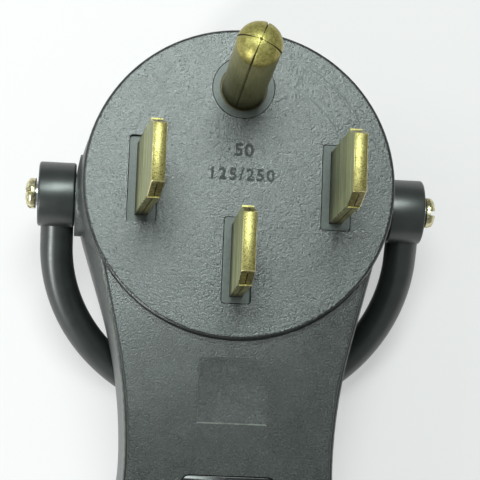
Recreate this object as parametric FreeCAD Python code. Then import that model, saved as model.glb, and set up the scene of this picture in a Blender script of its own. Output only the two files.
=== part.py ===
"""Right-angle four-prong power plug with a swinging pull handle.

The plug lies on its back: prongs up, ground pin towards +Y, cable inlet towards -Y.
While it is modelled, X and Y start on the line between the two hot blades and Z is 0 on
the raised contact face. At the end everything moves so that the origin is the bottom
centre of the box round the whole plug. Depths are measured back from the contact face.
Lengths are in millimetres.
"""
import FreeCAD
import Part
import math
import os

V = FreeCAD.Vector
X_AXIS = V(1, 0, 0)
Y_AXIS = V(0, 1, 0)
Z_AXIS = V(0, 0, 1)
LEFT = -1
RIGHT = 1
BOTH_SIDES = (LEFT, RIGHT)

# Contact layout and prongs
hot_spacing = 31.75
ground_above = 15.875
neutral_below = 12.7
blade_width = 11.9
blade_thickness = 2.1
blade_length = 25.4
blade_chamfer_side = 1.5
blade_chamfer_length = 5.8
pin_radius = 3.57
pin_length = 28.6
pin_dome = 3.2

# Raised contact face and the windows in it
face_radius = 25.65
face_edge_round = 0.6
neck_face_depth = 1.0
ledge_depth = 1.7
window_width = 4.92
window_height = 14.26
window_corner = 0.5
ground_window_radius = 5.2
boss_clearance = 0.12
left_boss_sink = 0.8

# Housing shells
body_depth = 37.6
split_depth = 16.0
front_wall_depth = 4.6
shell_wall = 2.4
neck_face_inset = 0.5
front_head_radius = 25.75
front_neck_radius = 24.85
front_waist = 16.85
back_head_radius = 26.6
back_waist = 17.3
waist_below = 46.0
upper_neck_arc = 85.0
lower_neck_arc = 30.0
grip_shoulder_arc = 15.0
tail_corner = 11.5
tail_wall = 8.0
back_round = 10.0

# Relief behind the neck where the folded handle lies
neck_back_depth = 27.4
relief_top = 24.8
relief_bottom = 39.6
relief_slope = 2.6

# Blank plate and frame on the neck
plate_width = 15.2
plate_height = 18.0
plate_thickness = 0.9
plate_top = 47.4
plate_sink = 0.15
plate_corner = 1.2

# Pull handle and its pivots
pivot_depth = 16.0
pivot_below = 1.0
pad_face = 26.75
pad_radius = 7.0
rod_radius = 2.8
leg_length = 8.6
bow_radius = 30.2
hub_radius = 5.5
hub_inner = 27.1
hub_width = 6.3
hub_edge = 0.8
floor_gap = 0.1
running_clearance = 0.05
bush_radius = 2.1
bush_overhang = 0.15
pivot_screw_radius = 1.5
pivot_head_radius = 2.6
pivot_head_height = 1.75
pivot_screw_reach = 4.4
insert_radius = 2.4
insert_length = 5.2

# Inner contact block
carrier_radius = 21.8
carrier_depth = 12.0
carrier_side_gap = 0.6
retainer_thickness = 3.0
shoulder_width = 14.8
shoulder_depth = 3.0
pin_root_growth = 0.33
pin_flange_radius = 5.4
slot_clearance = 0.05
post_clearance = 0.4

# Terminals
tail_width = 8.8
tab_gap = 0.8
tab_thickness = 2.1
tab_reach = 9.0
saddle_length = 7.6
saddle_width = 8.4
saddle_thickness = 2.0
terminal_screw_radius = 2.0
terminal_head_radius = 3.6
terminal_head_height = 2.6

# Screws that hold the contact block, and the shell screws
retainer_screw_radius = 1.5
retainer_head_radius = 2.8
retainer_head_height = 2.0
retainer_screw_bite = 2.6
retainer_screw_places = ((9.0, 16.5), (-9.0, 16.5), (8.5, -13.5), (-8.5, -13.5))
head_screw_across = 16.6
head_screw_above = 14.2
neck_screw_across = 13.5
neck_screw_below = 18.5
tail_post_inset = 0.8
front_post_radius = 3.4
rear_post_radius = 4.1
shell_screw_radius = 1.5
shell_screw_hole = 1.7
shell_head_radius = 2.75
shell_head_height = 2.0
shell_head_bore = 3.0
shell_screw_seat_depth = 28.6
shell_insert_radius = 2.2
shell_insert_length = 6.0

# Cable inlet
cable_bore_radius = 13.75
collar_wall = 1.4
collar_edge = 1.2
collar_reach = 6.0
collar_root = 8.0
sleeve_wall = 1.65
ring_height = 1.1
ring_width = 2.6
ring_setback = 3.0
sleeve_overhang = 0.6

# Cable clamp inside the grip
clamp_past_shoulder = 0.17
clamp_width = 6.0
clamp_post_gap = 2.4
screw_to_grip_end = 8.5
clamp_squeeze = 0.85
clamp_bar_thickness = 1.7
clamp_ear_thickness = 3.2
clamp_gap = 0.6
clamp_head_gap = 0.2
clamp_side_gap = 0.5
clamp_screw_radius = 1.4
clamp_head_radius = 2.4
clamp_head_height = 2.0
clamp_screw_bite = 7.0

# Slots in the screw heads
slot_width = 0.8
slot_depth_share = 0.55

# Values that follow from the sizes above
hot_across = hot_spacing / 2
pin_root_radius = pin_radius + pin_root_growth
sleeve_radius = cable_bore_radius + sleeve_wall
ring_radius = sleeve_radius + ring_height
collar_radius = ring_radius + collar_wall
clamp_bore_radius = cable_bore_radius - clamp_squeeze
clamp_screw_across = clamp_bore_radius + clamp_bar_thickness + clamp_head_gap + clamp_head_radius
clamp_end = clamp_screw_across + clamp_head_radius
grip_half_width = clamp_end + clamp_side_gap + shell_wall
tail_screw_across = grip_half_width - rear_post_radius - tail_post_inset
shoulder_reach = lower_neck_arc + grip_shoulder_arc
shoulder_offset = front_waist + shoulder_reach - grip_half_width
shoulder_below = waist_below + math.sqrt(shoulder_reach ** 2 - shoulder_offset ** 2)
clamp_below = shoulder_below + clamp_past_shoulder
tail_screw_below = clamp_below + clamp_width / 2 + clamp_post_gap + rear_post_radius
grip_end_below = tail_screw_below + screw_to_grip_end
tail_below = grip_end_below + collar_reach
collar_start = grip_end_below - collar_root
inlet_depth = body_depth - collar_radius
shell_screw_places = [(side * across, up) for across, up in (
    (head_screw_across, head_screw_above),
    (neck_screw_across, -neck_screw_below),
    (tail_screw_across, -tail_screw_below),
) for side in BOTH_SIDES]
carrier_back = front_wall_depth + carrier_depth
retainer_back = carrier_back + retainer_thickness
tab_depth = retainer_back + retainer_head_height + tab_gap
tab_back = tab_depth + tab_thickness
saddle_back = tab_back + saddle_thickness
pivot_height = body_depth - pivot_depth
handle_reach = leg_length + bow_radius
handle_lean = math.degrees(math.asin((pivot_height - rod_radius - floor_gap) / handle_reach))
hub_outer = hub_inner + hub_width
head_seat = hub_outer + bush_overhang
origin_y = (tail_below + sleeve_overhang - back_head_radius) / 2


def box(x0, x1, y0, y1, z0, z1):
    """A block between two corners, given as low and high values."""
    return Part.makeBox(x1 - x0, y1 - y0, z1 - z0, V(x0, y0, z0))


def rod(start, axis, radius, length):
    """A cylinder from start along axis."""
    return Part.makeCylinder(radius, length, start, axis)


def depth_rod(x, y, top, bottom, radius):
    """A cylinder square to the contact face, between two depths."""
    return rod(V(x, y, -bottom), Z_AXIS, radius, bottom - top)


def side_rod(side, near, far, radius):
    """A cylinder on the handle's pivot axis, between two distances from the middle."""
    start = V(side * near, -pivot_below, -pivot_depth)
    return rod(start, V(side, 0, 0), radius, far - near)


def inlet_rod(y0, y1, radius):
    """A cylinder on the cable's axis, between two values of Y."""
    return rod(V(0, y0, -inlet_depth), Y_AXIS, radius, y1 - y0)


def arc(centre, radius, start, end):
    """An arc about centre between two angles in degrees, at Z of 0."""
    points = []
    for angle in (start, (start + end) / 2, end):
        turn = math.radians(angle)
        points.append(V(centre.x + radius * math.cos(turn), centre.y + radius * math.sin(turn), 0))
    return Part.Arc(*points).toShape()


def line(start, end):
    return Part.LineSegment(start, end).toShape()


def mirrored(edge):
    return edge.mirror(V(0, 0, 0), X_AXIS)


def outline(inset, head, neck, waist):
    """The housing seen from the front: a round head, a waisted neck and a wider grip.

    The neck's straight flank is tangent to a circle of radius neck about the head's centre.
    """
    head = head - inset
    neck = neck - inset
    waist = waist - inset
    upper = upper_neck_arc + inset
    lower = lower_neck_arc + inset
    shoulder = grip_shoulder_arc - inset
    grip = grip_half_width - inset
    corner = tail_corner - inset
    tail = inset - grip_end_below
    upper_centre = V(waist + upper, -waist_below, 0)
    lower_centre = V(waist + lower, -waist_below, 0)
    shoulder_across = lower_centre.x - grip + shoulder
    shoulder_drop = math.sqrt((lower + shoulder) ** 2 - shoulder_across ** 2)
    shoulder_centre = V(grip - shoulder, -waist_below - shoulder_drop, 0)
    corner_centre = V(grip - corner, tail + corner, 0)
    flank = math.degrees(math.atan2(upper_centre.y, upper_centre.x))
    flank += math.degrees(math.acos((neck + upper) / upper_centre.Length))
    flank_normal = V(math.cos(math.radians(flank)), math.sin(math.radians(flank)), 0)
    flank_along = V(flank_normal.y, -flank_normal.x, 0)
    flank_start = flank_normal * neck + flank_along * math.sqrt(head ** 2 - neck ** 2)
    flank_end = upper_centre - flank_normal * upper
    start_angle = math.degrees(math.atan2(flank_start.y, flank_start.x))
    bend = math.degrees(math.atan2(shoulder_drop, -shoulder_across))
    side = [
        arc(V(0, 0, 0), head, 90, start_angle),
        line(flank_start, flank_end),
        arc(upper_centre, upper, 180 + flank, 180),
        arc(lower_centre, lower, 180, 360 - bend),
        arc(shoulder_centre, shoulder, 180 - bend, 0),
        line(V(grip, shoulder_centre.y, 0), V(grip, corner_centre.y, 0)),
        arc(corner_centre, corner, 0, -90),
        line(V(grip - corner, tail, 0), V(0, tail, 0)),
    ]
    other = [mirrored(edge) for edge in reversed(side)]
    return Part.Wire(Part.__sortEdges__(side + other))


def front_outline(inset=0.0):
    return outline(inset, front_head_radius, front_neck_radius, front_waist)


def back_outline(inset=0.0):
    return outline(inset, back_head_radius, back_head_radius, back_waist)


def slab(wire, top, bottom):
    """A plate with the given outline, between two depths."""
    face = Part.Face(wire)
    face.translate(V(0, 0, -bottom))
    return face.extrude(V(0, 0, bottom - top))


def edges_at_depth(solid, depth):
    """All edges that lie flat at one depth."""
    found = []
    for edge in solid.Edges:
        limits = edge.BoundBox
        if abs(limits.ZMin + depth) < 1e-4 and abs(limits.ZMax + depth) < 1e-4:
            found.append(edge)
    return found


def slotted(head, centre, axis, radius, height):
    """A screw head with a cross cut in its outer end; axis points out of the head."""
    depth = height * slot_depth_share
    half = slot_width / 2
    bar = box(-radius, radius, -half, half, -depth, depth)
    cross = bar.fuse(box(-half, half, -radius, radius, -depth, depth))
    cross.Placement = FreeCAD.Placement(centre, FreeCAD.Rotation(Z_AXIS, axis))
    return head.cut(cross)


def screw(seat, axis, shank_radius, reach, head_radius, head_height):
    """A pan-head screw; seat is the point under its head, axis points out of the head."""
    shank = rod(seat - axis * reach, axis, shank_radius, reach)
    head = rod(seat, axis, head_radius, head_height)
    rim = [edge for edge in head.Edges if (edge.CenterOfMass - seat - axis * head_height).Length < 1e-4]
    head = head.makeFillet(head_height * 0.5, rim)
    top = seat + axis * head_height
    head = slotted(head, top, axis, head_radius * 0.62, head_height)
    return head.fuse(shank)


def one(shapes):
    """Fuse a list of shapes into one."""
    shapes = list(shapes)
    return shapes[0].multiFuse(shapes[1:]) if len(shapes) > 1 else shapes[0]


def hot_place(side):
    return V(side * hot_across, 0, 0)


NEUTRAL_PLACE = V(0, -neutral_below, 0)
GROUND_PLACE = V(0, ground_above, 0)

# Each blade's tab bends towards the side that has room for a wire
BLADES = {
    "hot_blade_left": (hot_place(LEFT), RIGHT),
    "hot_blade_right": (hot_place(RIGHT), LEFT),
    "neutral_blade": (NEUTRAL_PLACE, RIGHT),
}


def window(place, inset, top, bottom):
    """The rounded opening round a blade, or the boss that fills it."""
    half_x = window_width / 2 - inset
    half_y = window_height / 2 - inset
    block = box(place.x - half_x, place.x + half_x, place.y - half_y, place.y + half_y, -bottom, -top)
    upright = [edge for edge in block.Edges if edge.BoundBox.ZLength > 0.5 * (bottom - top)]
    return block.makeFillet(window_corner, upright)


def pivot_pad(side, top, bottom):
    """The flat round seat beside the handle's hub, as far as one shell carries it."""
    start = back_head_radius - shell_wall
    pad = side_rod(side, start, pad_face, pad_radius)
    keep = box(-pad_face - 1, pad_face + 1, -pad_radius * 2, pad_radius * 2, -bottom, -top)
    return pad.common(keep)


def pivot_block(side, top, bottom):
    """The inner boss round the threaded insert, as far as one shell carries it."""
    inner = pad_face - insert_length - shell_wall / 2
    boss = side_rod(side, inner, back_head_radius - shell_wall / 2, insert_radius * 2)
    keep = box(-pad_face - 1, pad_face + 1, -pad_radius * 2, pad_radius * 2, -bottom, -top)
    return boss.common(keep)


def insert_hole(side):
    return side_rod(side, pad_face - insert_length, pad_face + 1, insert_radius)


def beyond_pads():
    """Everything outside the pads' flat faces near the pivots."""
    reach = pad_face + hub_width
    return [side_rod(side, pad_face, reach, pad_radius + 0.5) for side in BOTH_SIDES]


def label_pocket(inset, top, bottom):
    half = plate_width / 2 - inset
    block = box(-half, half, -plate_top - plate_height + inset, -plate_top - inset, -bottom, -top)
    upright = [edge for edge in block.Edges if edge.BoundBox.ZLength > 0.5 * (bottom - top)]
    return block.makeFillet(plate_corner - inset, upright)


def inlet_collar(top, bottom):
    """The round collar that carries the cable inlet, as far as one shell carries it."""
    collar = inlet_rod(-tail_below, -collar_start, collar_radius)
    rim = [edge for edge in collar.Edges if edge.BoundBox.YMax < 1e-4 - tail_below]
    collar = collar.makeFillet(collar_edge, rim)
    return collar.common(box(-collar_radius, collar_radius, -tail_below, -collar_start, -bottom, -top))


def front_shell():
    """The front half: contact face, neck face, side walls, posts and cable saddle."""
    low = front_outline()
    low.translate(V(0, 0, -ledge_depth))
    wide = back_outline()
    wide.translate(V(0, 0, -split_depth))
    skin = Part.makeLoft([low, wide], True, True)
    neck_face = slab(front_outline(neck_face_inset), neck_face_depth, ledge_depth + 0.5)
    disc = depth_rod(0, 0, 0, ledge_depth + 0.5, face_radius)
    disc = disc.makeFillet(face_edge_round, edges_at_depth(disc, 0))
    pads = [pivot_pad(side, 0, split_depth) for side in BOTH_SIDES]
    outside = one([skin, neck_face, disc, inlet_collar(inlet_depth - collar_radius, split_depth)] + pads)
    cavity = slab(front_outline(shell_wall), front_wall_depth, split_depth + 1)
    keep_tail = box(-grip_half_width, grip_half_width, -tail_below, tail_wall - tail_below, -split_depth, 0)
    cavity = cavity.cut(keep_tail)
    solid = outside.cut(cavity)
    posts = [depth_rod(x, y, front_wall_depth - 1, split_depth, front_post_radius) for x, y in shell_screw_places]
    blocks = [pivot_block(side, 0, split_depth) for side in BOTH_SIDES]
    saddle = box(-grip_half_width, grip_half_width, -clamp_below - clamp_width / 2,
                 -clamp_below + clamp_width / 2, -split_depth, -front_wall_depth + 1)
    inside = slab(front_outline(shell_wall / 2), front_wall_depth - 1, split_depth)
    inner = one(posts + blocks).common(outside).fuse(saddle.common(inside))
    solid = solid.fuse(inner)
    cuts = [window(place, 0, -1, front_wall_depth + 1) for place, bend in BLADES.values()]
    cuts.append(depth_rod(0, ground_above, -1, front_wall_depth + 1, ground_window_radius))
    cuts += beyond_pads()
    cuts += [insert_hole(side) for side in BOTH_SIDES]
    for x, y in retainer_screw_places:
        cuts.append(depth_rod(x, y, front_wall_depth - retainer_screw_bite, front_wall_depth + 1,
                              retainer_screw_radius))
    for x, y in shell_screw_places:
        cuts.append(depth_rod(x, y, split_depth - shell_insert_length, split_depth + 1, shell_insert_radius))
    for side in BOTH_SIDES:
        cuts.append(depth_rod(side * clamp_screw_across, -clamp_below, split_depth - clamp_screw_bite,
                              split_depth + 1, clamp_screw_radius))
    cuts.append(inlet_rod(-clamp_below - clamp_width, -clamp_below + clamp_width, clamp_bore_radius))
    cuts += inlet_cuts()
    cuts.append(label_pocket(0, neck_face_depth - 1, neck_face_depth + plate_thickness + plate_sink))
    return solid.cut(one(cuts))


def inlet_cuts():
    """The round way in for the cable, with the groove that holds the rubber ring."""
    ring_start = -tail_below + ring_setback
    return [
        inlet_rod(-tail_below - 1, -tail_below + tail_wall + 1, sleeve_radius),
        inlet_rod(ring_start, ring_start + ring_width, ring_radius),
    ]


def rear_shell():
    """The rear half: a deep head and grip with a thin bridge behind the neck."""
    outside = slab(back_outline(), split_depth, body_depth)
    outside = outside.makeFillet(back_round, edges_at_depth(outside, body_depth))
    pads = [pivot_pad(side, split_depth, body_depth) for side in BOTH_SIDES]
    outside = one([outside, inlet_collar(split_depth, inlet_depth + collar_radius)] + pads)
    cavity = slab(back_outline(shell_wall), split_depth - 1, body_depth - shell_wall)
    cavity = cavity.makeFillet(back_round - shell_wall, edges_at_depth(cavity, body_depth - shell_wall))
    relief_start = -relief_top + relief_slope
    relief_end = -relief_bottom - relief_slope
    below_bridge = box(-grip_half_width, grip_half_width, relief_end - shell_wall, relief_start + shell_wall,
                       -body_depth, -neck_back_depth + shell_wall)
    tail_block = box(-grip_half_width, grip_half_width, -tail_below, tail_wall - tail_below, -body_depth, 0)
    cavity = cavity.cut(below_bridge).cut(tail_block)
    solid = outside.cut(cavity)
    posts = [depth_rod(x, y, split_depth, body_depth, rear_post_radius) for x, y in shell_screw_places]
    blocks = [pivot_block(side, split_depth, body_depth) for side in BOTH_SIDES]
    solid = solid.fuse(one(posts + blocks).common(outside))
    cuts = inlet_cuts() + beyond_pads() + [insert_hole(side) for side in BOTH_SIDES]
    for x, y in shell_screw_places:
        cuts.append(depth_rod(x, y, split_depth - 1, body_depth, shell_screw_hole))
        cuts.append(depth_rod(x, y, shell_screw_seat_depth, body_depth + 1, shell_head_bore))
    cuts.append(handle_relief())
    return solid.cut(one(cuts))


def handle_relief():
    """The hollow behind the neck, with sloped ends, that the folded handle drops into."""
    out = body_depth + 1
    wide = grip_half_width + back_head_radius
    points = [
        V(-wide, -relief_top + relief_slope, -out),
        V(-wide, -relief_top, -neck_back_depth),
        V(-wide, -relief_bottom, -neck_back_depth),
        V(-wide, -relief_bottom - relief_slope, -out),
    ]
    face = Part.Face(Part.makePolygon(points + points[:1]))
    return face.extrude(V(2 * wide, 0, 0))


def block_plan(depth_top, depth_bottom):
    """The contact block's outline, cleared round the shell's posts and pivot bosses."""
    plate = depth_rod(0, 0, depth_top, depth_bottom, carrier_radius)
    side_limit = pad_face - insert_length - shell_wall / 2 - carrier_side_gap
    post_radius = max(front_post_radius, rear_post_radius) + post_clearance
    cuts = [depth_rod(x, y, depth_top - 1, depth_bottom + 1, post_radius) for x, y in shell_screw_places]
    reach = insert_radius * 2 + carrier_side_gap
    for side in BOTH_SIDES:
        ends = sorted((side * side_limit, side * (carrier_radius + 1)))
        cuts.append(box(ends[0], ends[1], -pivot_below - reach, -pivot_below + reach,
                        -depth_bottom - 1, -depth_top + 1))
    return plate.cut(one(cuts))


def tab_box(place, bend, grow, top, bottom):
    """The space of one blade's bent tab, between two depths."""
    near = -blade_thickness / 2
    ends = sorted((place.x + bend * near - bend * grow, place.x + bend * (tab_reach + grow)))
    half = tail_width / 2 + grow
    return box(ends[0], ends[1], place.y - half, place.y + half, -bottom, -top)


def contact_carrier():
    """The insulating block that holds the prongs, with bosses that fill the windows."""
    solid = block_plan(front_wall_depth, carrier_back)
    bosses = []
    for name, (place, bend) in BLADES.items():
        sink = left_boss_sink if name == "hot_blade_left" else 0.0
        bosses.append(window(place, boss_clearance, sink, carrier_back))
    bosses.append(depth_rod(0, ground_above, 0, carrier_back, ground_window_radius - boss_clearance))
    solid = solid.fuse(one(bosses))
    cuts = []
    for place, bend in BLADES.values():
        half_x = blade_thickness / 2 + slot_clearance
        half_y = blade_width / 2 + slot_clearance
        half_shoulder = shoulder_width / 2 + slot_clearance
        cuts.append(box(place.x - half_x, place.x + half_x, place.y - half_y, place.y + half_y,
                        -carrier_back - 1, 1))
        cuts.append(box(place.x - half_x, place.x + half_x, place.y - half_shoulder, place.y + half_shoulder,
                        -carrier_back - 1, -carrier_back + shoulder_depth))
    cuts.append(depth_rod(0, ground_above, -1, carrier_back + 1, pin_root_radius + slot_clearance))
    cuts.append(depth_rod(0, ground_above, carrier_back - shoulder_depth, carrier_back + 1,
                          pin_flange_radius + slot_clearance))
    cuts += [depth_rod(x, y, front_wall_depth - 1, carrier_back + 1, retainer_screw_radius)
             for x, y in retainer_screw_places]
    return solid.cut(one(cuts))


def contact_retainer():
    """The plate behind the block that traps the prongs by their shoulders."""
    solid = block_plan(carrier_back, retainer_back)
    cuts = [tab_box(place, bend, slot_clearance * 4, carrier_back - 1, retainer_back + 1)
            for place, bend in BLADES.values()]
    cuts.append(depth_rod(0, ground_above, carrier_back - 1, retainer_back + 1, pin_root_radius + slot_clearance * 4))
    cuts += [depth_rod(x, y, carrier_back - 1, retainer_back + 1, retainer_screw_radius)
             for x, y in retainer_screw_places]
    return solid.cut(one(cuts))


def tab_centre(place, bend):
    """The middle of a tab, where its terminal screw goes through."""
    return V(place.x + bend * (tab_reach - saddle_length / 2 + blade_thickness / 4), place.y, 0)


def terminal_hole(centre):
    return depth_rod(centre.x, centre.y, tab_depth - 1, saddle_back + 1, terminal_screw_radius)


def blade(place, bend):
    """A folded brass blade with chamfered tip, shoulders and a bent terminal tab."""
    half = blade_width / 2
    tip = half - blade_chamfer_side
    shoulder_top = carrier_back - shoulder_depth
    points = [
        V(0, -half, -shoulder_top), V(0, -half, blade_length - blade_chamfer_length), V(0, -tip, blade_length),
        V(0, tip, blade_length), V(0, half, blade_length - blade_chamfer_length), V(0, half, -shoulder_top),
    ]
    front = Part.Face(Part.makePolygon(points + points[:1]))
    front.translate(V(place.x - blade_thickness / 2, place.y, 0))
    front = front.extrude(V(blade_thickness, 0, 0))
    folded_end = [edge for edge in front.Edges if edge.BoundBox.ZMin > blade_length - 1e-3
                  and edge.BoundBox.YLength > tip]
    front = front.makeFillet(blade_thickness * 0.4, folded_end)
    half_x = blade_thickness / 2
    shoulder = box(place.x - half_x, place.x + half_x, place.y - shoulder_width / 2, place.y + shoulder_width / 2,
                   -carrier_back, -shoulder_top)
    tail = box(place.x - half_x, place.x + half_x, place.y - tail_width / 2, place.y + tail_width / 2,
               -tab_back, -carrier_back)
    tab = tab_box(place, bend, 0, tab_depth, tab_back)
    solid = one([front, shoulder, tail, tab])
    return solid.cut(terminal_hole(tab_centre(place, bend))).removeSplitter()


GROUND_BEND = LEFT


def ground_pin():
    """The round ground pin with a domed tip, a thicker root, a flange and a flat terminal tab."""
    place = GROUND_PLACE
    straight = pin_length - pin_dome
    shaft = depth_rod(place.x, place.y, -straight, tab_depth, pin_radius)
    root = depth_rod(place.x, place.y, 0, tab_depth, pin_root_radius)
    dome = Part.makeSphere(pin_radius)
    squash = FreeCAD.Matrix()
    squash.scale(1.0, 1.0, pin_dome / pin_radius)
    dome = dome.transformGeometry(squash)
    dome.translate(V(place.x, place.y, straight))
    keep = rod(V(place.x, place.y, straight), Z_AXIS, pin_radius + 1, pin_dome + 1)
    dome = dome.common(keep)
    flange = depth_rod(place.x, place.y, carrier_back - shoulder_depth, carrier_back, pin_flange_radius)
    tab = tab_box(place, GROUND_BEND, 0, tab_depth, tab_back)
    solid = one([shaft, dome, root, flange, tab])
    return solid.cut(terminal_hole(tab_centre(place, GROUND_BEND))).removeSplitter()


TERMINALS = {
    "terminal_saddle_hot_left": BLADES["hot_blade_left"],
    "terminal_saddle_hot_right": BLADES["hot_blade_right"],
    "terminal_saddle_neutral": BLADES["neutral_blade"],
    "terminal_saddle_ground": (GROUND_PLACE, GROUND_BEND),
}


def terminal_saddle(place, bend):
    """The pressure plate that pinches a wire against the tab."""
    centre = tab_centre(place, bend)
    plate = box(centre.x - saddle_length / 2, centre.x + saddle_length / 2, centre.y - saddle_width / 2,
                centre.y + saddle_width / 2, -saddle_back, -tab_back)
    return plate.cut(terminal_hole(centre))


def terminal_screws():
    screws = []
    for place, bend in TERMINALS.values():
        centre = tab_centre(place, bend)
        seat = V(centre.x, centre.y, -saddle_back)
        screws.append(screw(seat, V(0, 0, -1), terminal_screw_radius, saddle_back - tab_depth,
                            terminal_head_radius, terminal_head_height))
    return Part.Compound(screws)


def back_screws(places, seat_depth, shank_radius, reach, head_radius, head_height):
    """Screws driven from the back, all with their heads at one depth."""
    screws = [screw(V(x, y, -seat_depth), V(0, 0, -1), shank_radius, reach, head_radius, head_height)
              for x, y in places]
    return Part.Compound(screws)


def retainer_screws():
    reach = retainer_back - front_wall_depth + retainer_screw_bite
    return back_screws(retainer_screw_places, retainer_back, retainer_screw_radius, reach,
                       retainer_head_radius, retainer_head_height)


def shell_screws():
    reach = shell_screw_seat_depth - split_depth + shell_insert_length
    return back_screws(shell_screw_places, shell_screw_seat_depth, shell_screw_radius, reach,
                       shell_head_radius, shell_head_height)


def shell_inserts():
    """Threaded brass inserts in the front shell's posts."""
    inserts = []
    for x, y in shell_screw_places:
        sleeve = depth_rod(x, y, split_depth - shell_insert_length, split_depth, shell_insert_radius)
        inserts.append(sleeve.cut(depth_rod(x, y, 0, split_depth + 1, shell_screw_radius)))
    return Part.Compound(inserts)


def handle_rod():
    """The round rod, swept down one leg, round the bow and up the other leg."""
    ends = [V(side * bow_radius, -pivot_below - bush_radius * 1.5, -pivot_depth) for side in BOTH_SIDES]
    turns = [V(side * bow_radius, -pivot_below - leg_length, -pivot_depth) for side in BOTH_SIDES]
    lowest = V(0, -pivot_below - leg_length - bow_radius, -pivot_depth)
    bow = Part.Arc(turns[0], lowest, turns[1]).toShape()
    path = Part.Wire([line(ends[0], turns[0]), bow, line(turns[1], ends[1])])
    section = Part.Wire(Part.makeCircle(rod_radius, ends[0], Y_AXIS))
    return path.makePipeShell([section], True, False)


def handle():
    """The pull handle: two hubs, two short legs and a round bow between them."""
    solid = handle_rod()
    for side in BOTH_SIDES:
        hub = side_rod(side, hub_inner, hub_outer, hub_radius)
        rims = [edge for edge in hub.Edges if edge.BoundBox.XLength < 1e-4]
        hub = hub.makeChamfer(hub_edge * 0.5, rims)
        bore = side_rod(side, hub_inner - 1, hub_outer + 1, bush_radius + running_clearance)
        solid = solid.fuse(hub.cut(bore))
    solid.rotate(V(0, -pivot_below, -pivot_depth), X_AXIS, handle_lean)
    return solid


def pivot_bush(side):
    """The metal sleeve that the handle turns on."""
    sleeve = side_rod(side, pad_face, head_seat, bush_radius)
    return sleeve.cut(side_rod(side, pad_face - 1, head_seat + 1, pivot_screw_radius))


def pivot_screw(side):
    seat = V(side * head_seat, -pivot_below, -pivot_depth)
    reach = head_seat - pad_face + pivot_screw_reach
    return screw(seat, V(side, 0, 0), pivot_screw_radius, reach, pivot_head_radius, pivot_head_height)


def pivot_insert(side):
    """The threaded brass insert that both shells grip."""
    sleeve = side_rod(side, pad_face - insert_length, pad_face, insert_radius)
    return sleeve.cut(side_rod(side, pad_face - insert_length - 1, pad_face + 1, pivot_screw_radius))


def cable_grommet():
    """The rubber sleeve that lines the cable inlet."""
    ring_start = -tail_below + ring_setback
    sleeve = inlet_rod(-tail_below - sleeve_overhang, -tail_below + tail_wall, sleeve_radius)
    ring = inlet_rod(ring_start, ring_start + ring_width, ring_radius)
    bore = inlet_rod(-tail_below - sleeve_overhang - 1, -tail_below + tail_wall + 1, cable_bore_radius)
    return sleeve.fuse(ring).cut(bore)


def cord_clamp():
    """The steel bar behind the cable, arched round it, with an ear at each end."""
    half = clamp_width / 2
    y0 = -clamp_below - half
    y1 = -clamp_below + half
    arch = inlet_rod(y0, y1, clamp_bore_radius + clamp_bar_thickness)
    ear_top = split_depth + clamp_gap
    ears = box(-clamp_end, clamp_end, y0, y1, -ear_top - clamp_ear_thickness, -ear_top)
    behind = box(-clamp_end, clamp_end, y0, y1, -body_depth, -ear_top)
    solid = arch.common(behind).fuse(ears)
    cuts = [inlet_rod(y0 - 1, y1 + 1, clamp_bore_radius)]
    cuts += [depth_rod(side * clamp_screw_across, -clamp_below, 0, body_depth, clamp_screw_radius)
             for side in BOTH_SIDES]
    return solid.cut(one(cuts))


def cord_clamp_screws():
    seat = split_depth + clamp_gap + clamp_ear_thickness
    places = [(side * clamp_screw_across, -clamp_below) for side in BOTH_SIDES]
    reach = seat - split_depth + clamp_screw_bite
    return back_screws(places, seat, clamp_screw_radius, reach, clamp_head_radius, clamp_head_height)


def label_plate():
    top = neck_face_depth + plate_sink
    return label_pocket(slot_clearance, top, top + plate_thickness)


def nodes():
    parts = {
        "front_shell": front_shell(),
        "rear_shell": rear_shell(),
        "contact_carrier": contact_carrier(),
        "contact_retainer": contact_retainer(),
        "ground_pin": ground_pin(),
        "terminal_screws": terminal_screws(),
        "retainer_screws": retainer_screws(),
        "shell_screws": shell_screws(),
        "shell_inserts": shell_inserts(),
        "handle": handle(),
        "cable_grommet": cable_grommet(),
        "cord_clamp": cord_clamp(),
        "cord_clamp_screws": cord_clamp_screws(),
        "label_plate": label_plate(),
    }
    for name, (place, bend) in BLADES.items():
        parts[name] = blade(place, bend)
    for name, (place, bend) in TERMINALS.items():
        parts[name] = terminal_saddle(place, bend)
    for side, word in ((LEFT, "left"), (RIGHT, "right")):
        parts["pivot_bush_" + word] = pivot_bush(side)
        parts["pivot_screw_" + word] = pivot_screw(side)
        parts["pivot_insert_" + word] = pivot_insert(side)
    return parts


def main():
    os.makedirs("parts", exist_ok=True)
    print("handle lean %.2f degrees, origin moved by y %.3f z %.3f" % (handle_lean, origin_y, body_depth))
    for name, shape in nodes().items():
        shape.translate(V(0, origin_y, body_depth))
        shape.exportStep("parts/" + name + ".step")
        print("%-26s solids %d volume %.0f valid %s" % (name, len(shape.Solids), shape.Volume, shape.isValid()))


main()
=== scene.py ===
# %% [markdown]
# # A right-angle power plug with a swinging pull handle
#
# The plug lies on its back with its prongs up. Its solid parts come from CAD, already in
# place and at real size, so this lesson only dresses them. CAD parts with the right shape
# get a finish. Parts that need more detail are built here with bmesh operators and stand in
# for their CAD part. All lengths are in metres, so a millimetre has its own name.

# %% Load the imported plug
import bpy
import bmesh
import math
from mathutils import Matrix, Vector


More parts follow.
